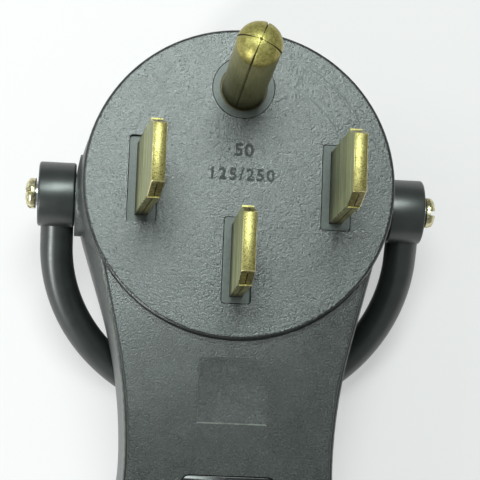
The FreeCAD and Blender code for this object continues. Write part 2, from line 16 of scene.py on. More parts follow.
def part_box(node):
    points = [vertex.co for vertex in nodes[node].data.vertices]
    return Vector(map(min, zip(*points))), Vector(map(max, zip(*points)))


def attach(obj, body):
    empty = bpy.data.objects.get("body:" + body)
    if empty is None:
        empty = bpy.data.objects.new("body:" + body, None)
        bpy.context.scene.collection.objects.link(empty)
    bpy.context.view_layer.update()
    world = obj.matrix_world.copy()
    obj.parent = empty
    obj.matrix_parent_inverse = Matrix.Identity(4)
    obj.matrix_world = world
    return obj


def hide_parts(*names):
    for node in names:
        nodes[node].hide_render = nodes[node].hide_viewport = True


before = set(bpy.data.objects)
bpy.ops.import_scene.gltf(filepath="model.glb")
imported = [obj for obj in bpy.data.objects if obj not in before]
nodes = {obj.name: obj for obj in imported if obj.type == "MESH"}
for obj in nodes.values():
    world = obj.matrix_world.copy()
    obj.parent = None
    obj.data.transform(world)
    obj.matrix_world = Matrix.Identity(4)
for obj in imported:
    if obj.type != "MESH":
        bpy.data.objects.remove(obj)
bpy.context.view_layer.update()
MM = 0.001
FIXED = "plug_body"
SWINGING = "pull_handle"
print("CAD parts:", len(nodes))

# %% [markdown]
# ## Camera
#
# The photograph looks almost straight down on the prongs from 28 cm away, so the prongs
# splay outwards by perspective. The place and turn below were solved from the four prongs,
# whose spacing is a known standard. A lens of 130 mm gives the photograph's crop.

# %% Place the camera
camera_data = bpy.data.cameras.new("photo_camera")
camera_data.lens = 130.07
camera_data.sensor_width = 36.0
camera = bpy.data.objects.new("photo_camera", camera_data)
bpy.context.scene.collection.objects.link(camera)
right = Vector((0.99534320, 0.03780803, 0.08867055))
up = Vector((-0.04864710, 0.99115701, 0.12345541))
back = Vector((-0.08321884, -0.12719407, 0.98838064))
turn = Matrix((right, up, back)).transposed().to_4x4()
camera.matrix_world = Matrix.Translation((-0.023140, -0.012226, 0.316221)) @ turn
bpy.context.scene.camera = camera
bpy.context.scene.view_settings.view_transform = "Standard"
print("camera above the table:", round(camera.matrix_world.translation.z / MM), "mm")

# %% [markdown]
# ## Light and floor
#
# The photograph has a white table under soft lamps. The grained plastic mirrors them: the
# top of the round face is bright and the neck is dark. A softbox above the far side does
# this, because its mirror image ends half-way down the face. A wide one on the left lights
# that flank, and a low narrow one draws the bright line on the left leg of the handle.
# The table adds a little light of its own for the camera, so it stays white and keeps a
# soft shadow.

# %% Build the lights
def area_light(name, place, aim, width, height, power, tint, roll=0.0):
    """A softbox at a place, turned towards its aim and then rolled about its own axis."""
    data = bpy.data.lights.new(name, "AREA")
    data.shape = "RECTANGLE"
    data.size = width
    data.size_y = height
    data.energy = power
    data.color = tint
    lamp = bpy.data.objects.new(name, data)
    bpy.context.scene.collection.objects.link(lamp)
    direction = Vector(aim) - Vector(place)
    facing = direction.to_track_quat("-Z", "Y").to_matrix().to_4x4()
    lamp.matrix_world = Matrix.Translation(place) @ facing @ Matrix.Rotation(roll, 4, "Z")


centre = Vector((0, 0.03, 0.03))
area_light("key_softbox", (-0.035, 0.232, 0.62), centre, 0.30, 0.17, 2.75, (0.87, 1.0, 0.96),
           roll=math.radians(38))
area_light("left_softbox", (-1.05, 0.36, 1.0), centre, 0.65, 0.65, 3.6, (0.91, 1.0, 0.97))
area_light("leg_strip", (-0.62, -0.62, 0.50), centre, 0.12, 0.50, 5.3, (0.94, 1.0, 0.98))
print("lamps:", [lamp.name for lamp in bpy.data.lights])


# %% Build the pale room
def seen_directly(tree):
    """One for camera, mirror and glass rays, nought for the rays that light the object."""
    path = tree.nodes.new("ShaderNodeLightPath")
    seen = path.outputs["Is Camera Ray"]
    for kind in ("Is Glossy Ray", "Is Transmission Ray"):
        either = tree.nodes.new("ShaderNodeMath")
        either.operation = "MAXIMUM"
        tree.links.new(seen, either.inputs[0])
        tree.links.new(path.outputs[kind], either.inputs[1])
        seen = either.outputs["Value"]
    return seen


world = bpy.data.worlds.new("pale_room")
bpy.context.scene.world = world
world.use_nodes = True
room = world.node_tree.nodes["Background"]
room.inputs["Color"].default_value = (0.93, 1.0, 0.97, 1)
lighting_strength = 0.26
visible_strength = 0.36
brightness = world.node_tree.nodes.new("ShaderNodeMapRange")
brightness.inputs["To Min"].default_value = lighting_strength
brightness.inputs["To Max"].default_value = visible_strength
world.node_tree.links.new(seen_directly(world.node_tree), brightness.inputs["Value"])
world.node_tree.links.new(brightness.outputs["Result"], room.inputs["Strength"])
print("room strength:", lighting_strength, "for light and", visible_strength, "to the eye")

# %% Build the white table
floor_mesh = bpy.data.meshes.new("floor")
shape = bmesh.new()
bmesh.ops.create_grid(shape, x_segments=1, y_segments=1, size=1.5)
shape.to_mesh(floor_mesh)
shape.free()
floor = bpy.data.objects.new("floor", floor_mesh)
bpy.context.scene.collection.objects.link(floor)
glow_share = 0.45
table = bpy.data.materials.new("white_table")
table.use_nodes = True
tree = table.node_tree
paper = tree.nodes["Principled BSDF"]
paper.inputs["Base Color"].default_value = (0.88, 0.82, 0.84, 1)
paper.inputs["Roughness"].default_value = 0.8
glow = tree.nodes.new("ShaderNodeEmission")
glow.inputs["Color"].default_value = (0.98, 1.0, 0.99, 1)
share = tree.nodes.new("ShaderNodeMath")
share.operation = "MULTIPLY"
share.inputs[1].default_value = glow_share
tree.links.new(seen_directly(tree), share.inputs[0])
both = tree.nodes.new("ShaderNodeMixShader")
tree.links.new(share.outputs["Value"], both.inputs["Fac"])
tree.links.new(paper.outputs["BSDF"], both.inputs[1])
tree.links.new(glow.outputs["Emission"], both.inputs[2])
tree.links.new(both.outputs["Shader"], tree.nodes["Material Output"].inputs["Surface"])
floor_mesh.materials.append(table)
print("table's own light to the eye:", glow_share)

# %% [markdown]
# ## A small kit for finishes
#
# Every finish starts from a Principled shader. Colour, roughness and bump are then built
# from noise in object space, so the grain has its real size in metres and stays on the part
# when the handle swings. `Finish` keeps the node tree and adds nodes in one line each.

# %% Define the finish kit
class Finish:
    """A node material that is built up one node at a time."""

    def __init__(self, name):
        self.material = bpy.data.materials.new(name)
        self.material.use_nodes = True
        self.nodes = self.material.node_tree.nodes
        self.links = self.material.node_tree.links
        self.shader = self.nodes["Principled BSDF"]
        self.place = self.nodes.new("ShaderNodeTexCoord").outputs["Object"]

    def set(self, **values):
        for name, value in values.items():
            self.shader.inputs[name.replace("_", " ")].default_value = value

    def plug_in(self, source, target):
        if hasattr(source, "is_linked"):
            self.links.new(source, target)
        else:
            target.default_value = source

    def stretched(self, scale):
        node = self.nodes.new("ShaderNodeMapping")
        node.inputs["Scale"].default_value = scale
        self.links.new(self.place, node.inputs["Vector"])
        return node.outputs["Vector"]

    def noise(self, size, detail=2.0, rough=0.5, stretch=(1, 1, 1)):
        """Noise whose blotches are about size metres wide."""
        node = self.nodes.new("ShaderNodeTexNoise")
        node.inputs["Scale"].default_value = 1 / size
        node.inputs["Detail"].default_value = detail
        node.inputs["Roughness"].default_value = rough
        self.links.new(self.stretched(stretch), node.inputs["Vector"])
        return node.outputs["Fac"]

    def ramp(self, source, stops):
        """A colour or grey that follows source through (position, colour) stops."""
        node = self.nodes.new("ShaderNodeValToRGB")
        while len(node.color_ramp.elements) < len(stops):
            node.color_ramp.elements.new(0.5)
        for element, (position, colour) in zip(node.color_ramp.elements, stops):
            element.position = position
            tone = colour if hasattr(colour, "__len__") else (colour, colour, colour)
            element.color = (*tone, 1)
        self.links.new(source, node.inputs["Fac"])
        return node.outputs["Color"]

    def math(self, operation, first, second=0.0):
        node = self.nodes.new("ShaderNodeMath")
        node.operation = operation
        self.plug_in(first, node.inputs[0])
        self.plug_in(second, node.inputs[1])
        return node.outputs["Value"]

    def mix(self, share, first, second, blend="MIX"):
        node = self.nodes.new("ShaderNodeMix")
        node.data_type = "RGBA"
        node.blend_type = blend
        colours = [socket for socket in node.inputs if socket.type == "RGBA"]
        self.plug_in(share, node.inputs["Factor"])
        self.plug_in(first, colours[0])
        self.plug_in(second, colours[1])
        return [socket for socket in node.outputs if socket.type == "RGBA"][0]

    def coordinates(self):
        """The three coordinates of a point on the part."""
        node = self.nodes.new("ShaderNodeSeparateXYZ")
        self.links.new(self.place, node.inputs["Vector"])
        return node.outputs

    def rise(self, source, start, end):
        """Nought up to start, one from end on, and a slope between."""
        node = self.nodes.new("ShaderNodeMapRange")
        node.inputs["From Min"].default_value = start
        node.inputs["From Max"].default_value = end
        self.links.new(source, node.inputs["Value"])
        return node.outputs["Result"]

    def away_from(self, centre, half_sizes=(1, 1), turn=0.0):
        """Distance from an upright axis, counted in half sizes along two turned directions."""
        node = self.nodes.new("ShaderNodeMapping")
        node.vector_type = "TEXTURE"
        node.inputs["Location"].default_value = (centre[0], centre[1], 0)
        node.inputs["Rotation"].default_value = (0, 0, turn)
        node.inputs["Scale"].default_value = (half_sizes[0], half_sizes[1], 1e6)
        self.links.new(self.place, node.inputs["Vector"])
        length = self.nodes.new("ShaderNodeVectorMath")
        length.operation = "LENGTH"
        self.links.new(node.outputs["Vector"], length.inputs[0])
        return length.outputs["Value"]

    def colour(self, source):
        self.plug_in(source, self.shader.inputs["Base Color"])

    def roughness(self, source, low, high):
        node = self.nodes.new("ShaderNodeMapRange")
        node.inputs["To Min"].default_value = low
        node.inputs["To Max"].default_value = high
        self.links.new(source, node.inputs["Value"])
        self.links.new(node.outputs["Result"], self.shader.inputs["Roughness"])

    def bump(self, source, depth, strength=1.0):
        node = self.nodes.new("ShaderNodeBump")
        node.inputs["Strength"].default_value = strength
        node.inputs["Distance"].default_value = depth
        self.links.new(source, node.inputs["Height"])
        self.links.new(node.outputs["Normal"], self.shader.inputs["Normal"])


print("finish kit ready")

# %% [markdown]
# ## Grained housing plastic
#
# The housing is moulded grey-black plastic. Its front has a spark-eroded grain about a
# third of a millimetre wide, and its drafted side walls have fine drag lines from leaving
# the mould. Height tells the two apart, so one material can show both. The front has three
# steps: the round face, the neck a millimetre below it and a narrow ledge round the neck.
# Soft blotches stand for handling and dust. A band of painted shade runs round the rim of the
# round face, which follows the distance from the face's centre, and the neck and the ledge get
# painted shade too. A tone of one keeps a colour and less darkens it.

# %% Make the housing finish
face_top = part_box("front_shell")[1].z
neck_level = face_top - 1.0 * MM
ledge_level = face_top - 1.7 * MM
hot_line = 0.5 * (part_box("hot_blade_left")[0].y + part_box("hot_blade_left")[1].y)
grained = Finish("grained_plastic")
height = grained.coordinates()["Z"]
on_front = grained.rise(height, ledge_level + 0.20 * MM, ledge_level + 0.30 * MM)
grain = grained.noise(0.30 * MM, detail=2.5, rough=0.68)
drag_lines = grained.noise(0.27 * MM, detail=1.5, stretch=(1, 1, 0.04))
faint_lines = grained.rise(drag_lines, -0.7, 1.7)
surface = grained.mix(on_front, faint_lines, grain)
speckle = grained.ramp(surface, [(0.34, (0.020, 0.024, 0.022)), (0.50, (0.048, 0.056, 0.053)),
                                 (0.64, (0.092, 0.105, 0.100))])
blotches = grained.noise(8 * MM, detail=5.0, rough=0.6)
handled = grained.mix(1.0, speckle, grained.ramp(blotches, [(0.32, 0.66), (0.70, 1.00)]), "MULTIPLY")
print("grain above z =", round((ledge_level + 0.25 * MM) / MM, 2), "mm")

# %% Add the painted shade at the rim, on the neck and on the ledge, and the marks of use
rim_start = 24.9
rim_end = 26.9
# colour of the painted shade on the narrow ledge
painted_ledge_shade = (0.16, 0.16, 0.15, 1)
dust = (0.16, 0.17, 0.15, 1)
scar_black = (0.018, 0.020, 0.016, 1)
from_centre = grained.away_from((0, hot_line), (MM, MM))
near_top = grained.rise(height, ledge_level - 0.7 * MM, ledge_level - 0.5 * MM)
# painted shade: a dark band round the rim of the round face, where its rounded edge turns from the
# light
painted_shade_tone = grained.ramp(grained.rise(from_centre, rim_start, rim_end), [
    (0.00, 1.00), (0.12, 0.40), (0.40, 0.20), (0.68, 0.20), (0.82, 1.00)])
# painted shade: the neck is made darker than the round face, which is the same plastic
on_neck = grained.rise(height, neck_level + 0.15 * MM, neck_level + 0.05 * MM)
painted_shade_tone = grained.mix(1.0, painted_shade_tone, grained.ramp(on_neck, [(0.0, 0.85), (1.0, 0.62)]), "MULTIPLY")
painted_shade_tone = grained.mix(near_top, (0.95, 0.95, 0.95, 1), painted_shade_tone)
below_front = grained.math("SUBTRACT", 1.0, on_front)
on_ledge = grained.math("MULTIPLY", near_top, below_front)
# painted shade on the narrow ledge round the neck
painted_shade_tone = grained.mix(on_ledge, painted_shade_tone, painted_ledge_shade)
toned = grained.mix(1.0, handled, painted_shade_tone, "MULTIPLY")
specks = grained.ramp(grained.noise(0.8 * MM, detail=4.0, rough=0.75), [(0.70, 0.0), (0.78, 0.55)])
dusty = grained.mix(specks, toned, dust)
scars = ((-16.7, 16.6, 1.2, 0.35, 0.5), (-14.6, 16.9, 0.9, 0.30, -0.4))
for across, up, half_length, half_width, slant in scars:
    place = (across * MM, hot_line + up * MM)
    ragged = grained.away_from(place, (half_length * MM, half_width * MM), slant)
    ragged = grained.math("ADD", ragged, grained.math("MULTIPLY", surface, 0.9))
    dusty = grained.mix(grained.rise(ragged, 1.6, 1.0), dusty, scar_black)
grained.colour(dusty)
grained.set(Specular_IOR_Level=0.80)
walls = grained.math("SUBTRACT", 1.0, near_top)
patchy = grained.math("MULTIPLY", blotches, 0.3)
matt = grained.math("ADD", patchy, grained.math("MULTIPLY", walls, 0.7))
grained.roughness(matt, 0.17, 0.45)
relief = grained.math("MULTIPLY", surface, grained.ramp(on_neck, [(0.0, 1.0), (1.0, 0.45)]))
grained.bump(relief, 0.080 * MM)
print("steps of the front, in mm:", [round(z / MM, 1) for z in (face_top, neck_level, ledge_level)])

# %% [markdown]
# ## Smooth plastics and rubber
#
# The contact bosses come out of a polished mould, so they are smoother and a little lighter
# than the housing. The blank plate is high gloss, and the inlet ring is dull rubber. Each of
# these is one noise that drives both the colour, between two close tones, and the roughness,
# so one function makes them all. A paler edge finish paints a highlight on edges that catch
# the light. The handle is a glossy black nylon with faint flow marks and a few rusty specks,
# which takes three noises.

# %% Define a two-tone finish
def two_tone(name, size, low, high, roughness, detail=2.0, rough=0.5, bump=None, metallic=0.0):
    """One noise, with blotches of a size in millimetres, drives colour, roughness and relief."""
    finish = Finish(name)
    finish.set(Metallic=metallic)
    marks = finish.noise(size * MM, detail=detail, rough=rough)
    finish.colour(finish.ramp(marks, [low, high]))
    finish.roughness(marks, *roughness)
    if bump:
        depth, strength = bump
        finish.bump(marks, depth * MM, strength)
    return finish


# painted highlight: a paler plastic for rounded edges that catch the light
painted_highlight_edge = two_tone("plastic_edge_painted_highlight", 0.8, (0.35, (0.075, 0.084, 0.076)),
                     (0.65, (0.160, 0.170, 0.145)), (0.40, 0.55), detail=4.0)
boss = two_tone("smooth_boss_plastic", 0.7, (0.3, (0.060, 0.070, 0.064)),
                (0.7, (0.095, 0.110, 0.102)), (0.30, 0.42), detail=4.0, rough=0.65, bump=(0.012, 0.5))
# painted shade: the numerals are darker than the face, standing for the shade round their raised
# strokes
numerals = two_tone("dark_numerals", 0.24, (0.36, (0.012, 0.015, 0.014)),
                    (0.70, (0.045, 0.053, 0.050)), (0.50, 0.70), detail=3.0)
inner = two_tone("inner_block_plastic", 1.5, (0.3, (0.020, 0.022, 0.022)),
                 (0.7, (0.032, 0.035, 0.034)), (0.45, 0.60))
black_gloss = two_tone("black_gloss_plate", 0.6, (0.4, (0.003, 0.003, 0.0035)),
                       (0.8, (0.007, 0.007, 0.008)), (0.06, 0.16), detail=4.0, rough=0.7)
rubber = two_tone("inlet_rubber", 0.4, (0.3, (0.018, 0.018, 0.018)),
                  (0.7, (0.030, 0.030, 0.029)), (0.65, 0.85), detail=3.0, bump=(0.01, 0.6))
two_toned = (painted_highlight_edge, boss, numerals, inner, black_gloss, rubber)
print("two-tone finishes:", [finish.material.name for finish in two_toned])

# %% Make the handle's nylon
nylon = Finish("glossy_handle_nylon")
nylon.set(Specular_IOR_Level=0.90)
flow = nylon.noise(2.2 * MM, detail=3.0, stretch=(1, 1, 0.5))
scuffs = nylon.noise(0.6 * MM, detail=5.0, rough=0.7)
rusty = nylon.ramp(nylon.noise(1.3 * MM, detail=5.0, rough=0.8), [(0.72, 0.0), (0.78, 0.6)])
black = nylon.ramp(flow, [(0.3, (0.010, 0.013, 0.012)), (0.75, (0.020, 0.025, 0.023))])
nylon.colour(nylon.mix(rusty, black, (0.13, 0.10, 0.07, 1)))
nylon.roughness(scuffs, 0.28, 0.42)
nylon.bump(scuffs, 0.006 * MM, 0.5)
print("nylon nodes:", len(nylon.nodes))

# %% [markdown]
# ## Brass and steel
#
# The prongs are brass sheet that has dulled to olive. The blades' flat sides keep streaks
# from rolling, which a noise stretched along Y makes, and they reflect weakly, so their
# Metallic value is low. The tips are rubbed: yellow, pitted and brighter. The edges are
# rubbed brightest, so each prong has several brasses, one for each kind of face. The cut
# corners and the narrow sides get darker brasses as painted shade. All of them darken
# towards the foot.

# %% Make the brass finishes
tarnish_brown = (0.17, 0.13, 0.045, 1)
pit_brown = (0.10, 0.07, 0.02, 1)
foot_darkening = (0.15, 0.13, 0.10, 1)
foot_start = face_top - 0.5 * MM
foot_end = face_top + 6.0 * MM


def brass(name, low, high, metallic, rough, grain, stretch=(1, 1, 1), bump=0.008, pitted=0.0):
    """Brass between a low and a high colour, with grain and bump in millimetres and dark pits."""
    finish = Finish(name)
    finish.set(Metallic=metallic)
    marks = finish.noise(grain * MM, detail=3.0, rough=0.65, stretch=stretch)
    tarnish = finish.noise(1.7 * MM, detail=5.0, rough=0.65)
    metal = finish.ramp(marks, [(0.34, low), (0.62, high)])
    metal = finish.mix(finish.ramp(tarnish, [(0.50, 0.0), (0.72, 0.40)]), metal, tarnish_brown)
    if pitted:
        pits = finish.ramp(finish.noise(0.26 * MM, detail=2.0), [(0.34, pitted), (0.44, 0.0)])
        metal = finish.mix(pits, metal, pit_brown)
    # darker towards the foot of each blade and of the pin
    above_foot = finish.rise(finish.coordinates()["Z"], foot_start, foot_end)
    darker_foot = finish.mix(1.0, metal, foot_darkening, "MULTIPLY")
    finish.colour(finish.mix(above_foot, darker_foot, metal))
    finish.roughness(tarnish, rough - 0.07, rough + 0.10)
    finish.bump(marks, bump * MM, 0.8)
    return finish


side_brass = brass("dull_side_brass", (0.20, 0.22, 0.115), (0.44, 0.45, 0.25),
                   metallic=0.35, rough=0.52, grain=1.5, stretch=(1, 0.05, 1), bump=0.03)
narrow_brass = brass("shaded_narrow_brass", (0.070, 0.066, 0.028), (0.22, 0.21, 0.095),
                     metallic=0.40, rough=0.50, grain=0.5, stretch=(1, 1, 0.08))
tip_brass = brass("rubbed_tip_brass", (0.20, 0.165, 0.045), (0.46, 0.41, 0.165),
                  metallic=0.90, rough=0.36, grain=0.20, bump=0.032, pitted=0.85)
edge_brass = brass("bright_edge_brass", (0.58, 0.50, 0.20), (0.84, 0.77, 0.42),
                   metallic=1.0, rough=0.26, grain=0.30, bump=0.004)
# painted shade: the cut corners get a darker brass because they face away from the lamps
corner_brass_painted_shade = brass("cut_corner_brass", (0.040, 0.036, 0.012), (0.25, 0.21, 0.06),
                     metallic=0.60, rough=0.48, grain=0.55, pitted=0.7)
pin_brass = brass("rolled_pin_brass", (0.27, 0.25, 0.110), (0.38, 0.36, 0.175),
                  metallic=0.60, rough=0.40, grain=0.22, stretch=(1, 1, 0.06))
dome_brass = brass("pin_dome_brass", (0.28, 0.235, 0.060), (0.47, 0.42, 0.145),
                   metallic=0.80, rough=0.42, grain=0.45, bump=0.010, pitted=0.3)

seam_dark = two_tone("seam_shadow", 0.25, (0.35, (0.010, 0.007, 0.003)),
                     (0.7, (0.080, 0.055, 0.020)), (0.6, 0.8), detail=3.0)
print("brasses darken below z =", round(foot_end / MM, 1), "mm")

# %% Make the plated finishes
zinc = two_tone("zinc_plate", 0.5, (0.35, (0.40, 0.41, 0.40)), (0.65, (0.60, 0.61, 0.60)),
                (0.22, 0.40), detail=4.0, bump=(0.006, 0.5), metallic=1.0)
screw_brass = two_tone("brass_plate", 0.5, (0.35, (0.40, 0.34, 0.16)), (0.65, (0.88, 0.84, 0.58)),
                       (0.22, 0.40), detail=4.0, bump=(0.006, 0.5), metallic=1.0)
print("plated finishes:", [finish.material.name for finish in (zinc, screw_brass)])

# %% [markdown]
# ## A small kit for pieces
#
# A finished piece keeps its object at the origin and its place in its mesh, as the CAD parts
# do. `welded` joins a copy of a CAD part's loose triangles, so that its round surfaces can be
# shaded smoothly while edges above 30 degrees stay sharp. `trim` cuts a shape with a plane,
# `moved` and `turned` place it, `softened` rounds some of its edges, and `spun` makes a round
# shape from its half section, as on a lathe.

# %% Define the piece kit
def finish_piece(shape, name, finishes, body):
    """Turn a bmesh into a finished object that rides on a body."""
    mesh = bpy.data.meshes.new(name)
    shape.to_mesh(mesh)
    shape.free()
    for finish in finishes:
        mesh.materials.append(finish.material)
    mesh.shade_smooth()
    mesh.set_sharp_from_angle(angle=math.radians(30))
    piece = bpy.data.objects.new(name, mesh)
    bpy.context.scene.collection.objects.link(piece)
    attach(piece, body)
    print("%-22s %6d faces" % (name, len(mesh.polygons)))
    return piece


def even_shading(piece):
    """Keep flat faces flat beside small round edges."""
    modifier = piece.modifiers.new("even_shading", "WEIGHTED_NORMAL")
    modifier.keep_sharp = True
    modifier.weight = 90


def welded(node):
    """A bmesh copy of a CAD part with its loose triangles joined."""
    shape = bmesh.new()
    shape.from_mesh(nodes[node].data)
    bmesh.ops.remove_doubles(shape, verts=shape.verts, dist=0.002 * MM)
    return shape


def whole_faces(shape):
    """Join the triangles that lie in one plane."""
    bmesh.ops.dissolve_limit(shape, angle_limit=math.radians(0.4), use_dissolve_boundaries=False,
                             verts=shape.verts, edges=shape.edges)


def trim(shape, point, normal):
    """Cut off what lies on the side that normal points to, and close the cut."""
    everything = shape.verts[:] + shape.edges[:] + shape.faces[:]
    cut = bmesh.ops.bisect_plane(shape, geom=everything, plane_co=point, plane_no=normal,
                                 clear_outer=True)
    rim = [part for part in cut["geom_cut"] if isinstance(part, bmesh.types.BMEdge)]
    bmesh.ops.holes_fill(shape, edges=rim, sides=0)
    return shape


def join_shapes(first, second):
    """Add a second bmesh to the first one."""
    carrier = bpy.data.meshes.new("carrier")
    second.to_mesh(carrier)
    second.free()
    first.from_mesh(carrier)
    bpy.data.meshes.remove(carrier)
    return first


def sharp_edges(shape, above=0.4):
    """The edges whose two faces meet at more than an angle in radians."""
    between_two = [edge for edge in shape.edges if len(edge.link_faces) == 2]
    return [edge for edge in between_two if edge.calc_face_angle(0) > above]


def closed_up(shape):
    """Fill the open ends of a shape and point all its faces outwards."""
    open_edges = [edge for edge in shape.edges if edge.is_boundary]
    bmesh.ops.holes_fill(shape, edges=open_edges, sides=0)
    bmesh.ops.recalc_face_normals(shape, faces=shape.faces)


def softened(shape, edges, offset, segments, material=-1):
    """Round some edges off by an offset, and give the new faces a material if one is named."""
    bmesh.ops.bevel(shape, geom=edges, offset=offset, affect="EDGES", segments=segments,
                    profile=0.5, material=material)


def moved(shape, way, verts=None):
    """Move a shape, or some of its points, along a vector."""
    bmesh.ops.translate(shape, verts=shape.verts if verts is None else verts, vec=way)


def turned(shape, angle, axis, centre=(0, 0, 0), verts=None):
    """Turn a shape, or some of its points, about an axis through a centre."""
    moving = shape.verts if verts is None else verts
    bmesh.ops.rotate(shape, verts=moving, cent=centre, matrix=Matrix.Rotation(angle, 3, axis))


def spun(points, axis, steps, closed):
    """A round shape from an open or a closed half section, spun a full turn about an axis."""
    shape = bmesh.new()
    verts = [shape.verts.new(point) for point in points]
    following = verts[1:] + verts[:1] if closed else verts[1:]
    edges = [shape.edges.new(pair) for pair in zip(verts, following)]
    bmesh.ops.spin(shape, geom=verts + edges, cent=(0, 0, 0), axis=axis, angle=math.tau,
                   steps=steps, use_merge=True)
    bmesh.ops.remove_doubles(shape, verts=shape.verts, dist=0.001 * MM)
    closed_up(shape)
    return shape


print("piece kit ready")

# %% [markdown]
# ## Housing shells
#
# Both shells come from CAD with the stepped front edge, the windows for the contact bosses
# and the hollow behind the neck. A CAD mesh is made of loose triangles, so each shell is
# welded and its flat faces are made whole before it is shaded smoothly. The seat beside each
# hub runs out into the wall at its upper end, and on the right also at its lower end, which is
# done by moving a few points. A shallow empty frame is pressed into the neck, with painted
# shade on its upper and left sides and a painted highlight on its lower side. The outlines of
# the neck and of the ledge are rounded, because a perfectly sharp edge would catch no light,
# and the ledge's rounded edge gets the paler finish as a painted highlight.

# %% Define the changes to the shells
seat_side = 26.55 * MM
seat_top = hot_line + 1.5 * MM
seat_foot = hot_line - 4.5 * MM
right_slope = 0.28
left_slope = 0.13
lower_slope = 0.35
recess_side = 11 * MM
# slots of the front shell: grained plastic, a paler finish for painted highlights and the dark
# numeral finish for painted shade
GRAINED, HIGHLIT, SHADED = range(3)


def run_out_seats(shape):
    """Let the ends of each hub's flat seat run out into the wall."""
    for vert in shape.verts:
        out = abs(vert.co.x)
        on_right = vert.co.x > 0
        above = vert.co.y - seat_top
        below = seat_foot - vert.co.y
        if out > seat_side and above > 0:
            vert.co.x *= 1 - (right_slope if on_right else left_slope) * above / out
        elif out > seat_side and on_right and below > 0:
            vert.co.x *= 1 - lower_slope * below / out
    return shape


def at_level(part, level):
    """True for an edge or a face that lies flat at one height."""
    return all(abs(vert.co.z - level) < 0.01 * MM for vert in part.verts)


def press_frame(shape, low, high, level, depth, slope):
    """Press a shallow rectangle into the flat neck, with sloping sides.

    The upper and the left side get painted shade in the dark numeral finish, and the lower side a
    painted highlight in the paler edge finish.
    """
    def on_neck_face(face):
        return at_level(face, level) and face.calc_center_median().y < low.y + 30 * MM

    def inside(face):
        middle = face.calc_center_median()
        return low.x < middle.x < high.x and low.y < middle.y < high.y

    for corner, normal in ((low, (1, 0, 0)), (high, (1, 0, 0)), (low, (0, 1, 0)), (high, (0, 1, 0))):
        flat = [face for face in shape.faces if on_neck_face(face)]
        geometry = flat + list({edge for face in flat for edge in face.edges})
        geometry += list({vert for face in flat for vert in face.verts})
        bmesh.ops.bisect_plane(shape, geom=geometry, plane_co=corner, plane_no=normal)
    floor_faces = [face for face in shape.faces if on_neck_face(face) and inside(face)]
    sides = bmesh.ops.inset_region(shape, faces=floor_faces, thickness=slope, depth=-depth,
                                   use_even_offset=True)["faces"]
    for face in sides:
        middle = face.calc_center_median()
        # painted highlight on the lower side, painted shade on the upper and left sides
        if middle.y < low.y + slope * 0.9:
            face.material_index = HIGHLIT
        elif middle.x < low.x + slope * 0.9 or middle.y > high.y - slope * 0.9:
            face.material_index = SHADED
    print("frame pressed in:", len(floor_faces), "faces with", len(sides), "sides")


def round_outline(shape, level, offset, segments, material):
    """Round the outer edge of one step of the front, clear of the recess for the plate."""
    def outer(edge):
        clear = min(abs(vert.co.x) for vert in edge.verts) > recess_side
        return at_level(edge, level) and edge.is_convex and clear

    corners = [edge for edge in sharp_edges(shape, 0.6) if outer(edge)]
    softened(shape, corners, offset, segments, material)
    print("outline edges rounded:", len(corners))


print("seats run out above y =", round(seat_top / MM, 1), "and below", round(seat_foot / MM, 1), "mm")


# %% Dress the housing shells and the contact block
def dressed_shell(node, name, finishes, shape):
    """A CAD part's changed copy, finished and put in its place."""
    whole_faces(shape)
    piece = finish_piece(shape, name, finishes, FIXED)
    even_shading(piece)
    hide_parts(node)


front = run_out_seats(welded("front_shell"))
frame_low = Vector((-5.5 * MM, hot_line - 39.2 * MM, 0))
frame_high = Vector((5.9 * MM, hot_line - 28.6 * MM, 0))
press_frame(front, frame_low, frame_high, neck_level, depth=0.22 * MM, slope=0.22 * MM)
round_outline(front, neck_level, offset=0.34 * MM, segments=3, material=GRAINED)
# the ledge's rounded outline gets the paler finish as a painted highlight
round_outline(front, ledge_level, offset=0.20 * MM, segments=1, material=HIGHLIT)
dressed_shell("front_shell", "housing_front", [grained, painted_highlight_edge, numerals], front)
back_shape = run_out_seats(welded("rear_shell"))
dressed_shell("rear_shell", "housing_back", [grained], back_shape)
dressed_shell("contact_carrier", "contact_block", [boss], welded("contact_carrier"))

# %% [markdown]
# ## Raised numerals and lines
#
# The round face carries two short rows of raised numerals and, at the upper right, a thin
# outline of a sector. The numerals are text made into a mesh and fitted to a height and a
# width, in a darker finish that paints the shade round their strokes. The outline is a small
# bar, spun for its two arcs and laid straight for the rest. All of it stands on the face, so
# the shell under it needs no change.

# %% Build the numerals
numeral_sink = 0.02 * MM


def raised_numerals(words, name, low, high, spacing):
    """Text between two corners on the face, standing 0.14 mm proud of it."""
    curve = bpy.data.curves.new(name, "FONT")
    curve.body = words
    curve.size = 3.0 * MM
    curve.space_character = spacing
    curve.extrude = 0.08 * MM
    curve.offset = 0.060 * MM
    holder = bpy.data.objects.new(name, curve)
    shape = bmesh.new()
    shape.from_mesh(bpy.data.meshes.new_from_object(holder))
    bpy.data.objects.remove(holder)
    bmesh.ops.remove_doubles(shape, verts=shape.verts, dist=0.001 * MM)
    corner_a = Vector([min(vert.co[i] for vert in shape.verts) for i in range(3)])
    corner_b = Vector([max(vert.co[i] for vert in shape.verts) for i in range(3)])
    drawn = corner_b - corner_a
    wanted = high - low
    moved(shape, -corner_a)
    bmesh.ops.scale(shape, verts=shape.verts, vec=(wanted.x / drawn.x, wanted.y / drawn.y, 1))
    moved(shape, (low.x, low.y, face_top - numeral_sink))
    finish_piece(shape, name, [numerals], FIXED)


def on_face(across, up, height=0.0):
    """A place on the contact face, in millimetres from the hot blades' line."""
    return Vector((across * MM, hot_line + up * MM, face_top + height * MM))


raised_numerals("50", "numerals_upper", on_face(-1.1, 4.45), on_face(2.0, 6.60), 1.12)
raised_numerals("125/250", "numerals_lower", on_face(-4.8, 0.45), on_face(5.6, 2.45), 1.25)


